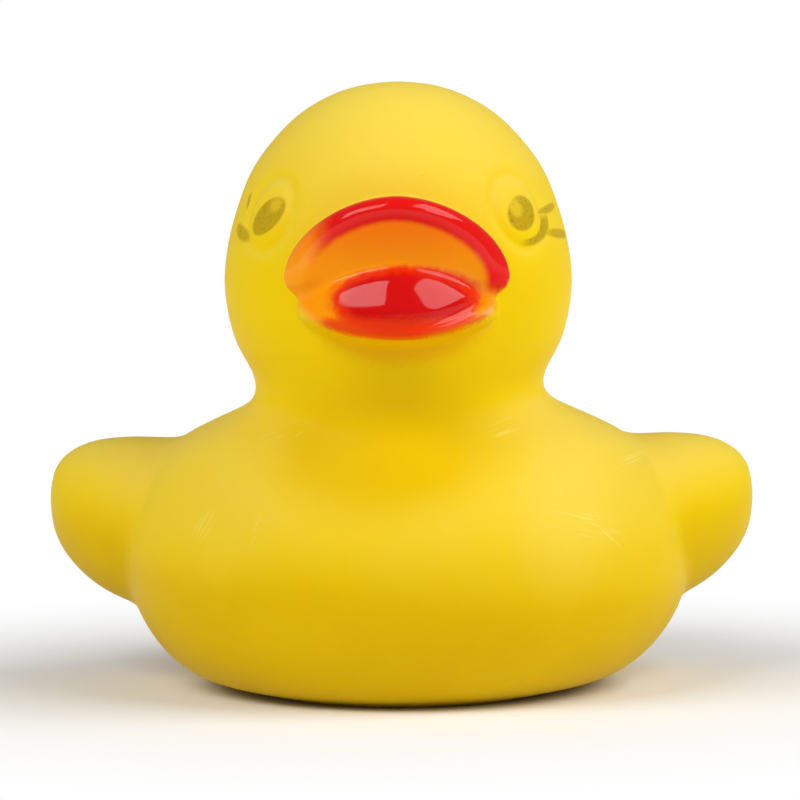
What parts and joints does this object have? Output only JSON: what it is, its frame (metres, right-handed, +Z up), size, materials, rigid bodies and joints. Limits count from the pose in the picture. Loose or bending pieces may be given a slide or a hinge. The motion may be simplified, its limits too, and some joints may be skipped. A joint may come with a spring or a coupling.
{
  "type": "rubber duck",
  "caption": "Hollow soft-vinyl bath toy in the shape of a duck with a round head, upturned painted bill, flared wings and raised tail; stands and floats on its flat base.",
  "frame": {"origin": "centre of the bounding box in plan, on the plane of the flat base", "axes": "+Z up out of the base, -Y the way the bill points, +X towards the wing on the viewer's right when the duck is seen from the front"},
  "size_m": [0.0512, 0.0478, 0.0435],
  "materials": {
    "yellow_vinyl": "satin soft vinyl"
  },
  "bodies": {
    "root": {"duck_body": "yellow_vinyl"}
  },
  "joints": []
}
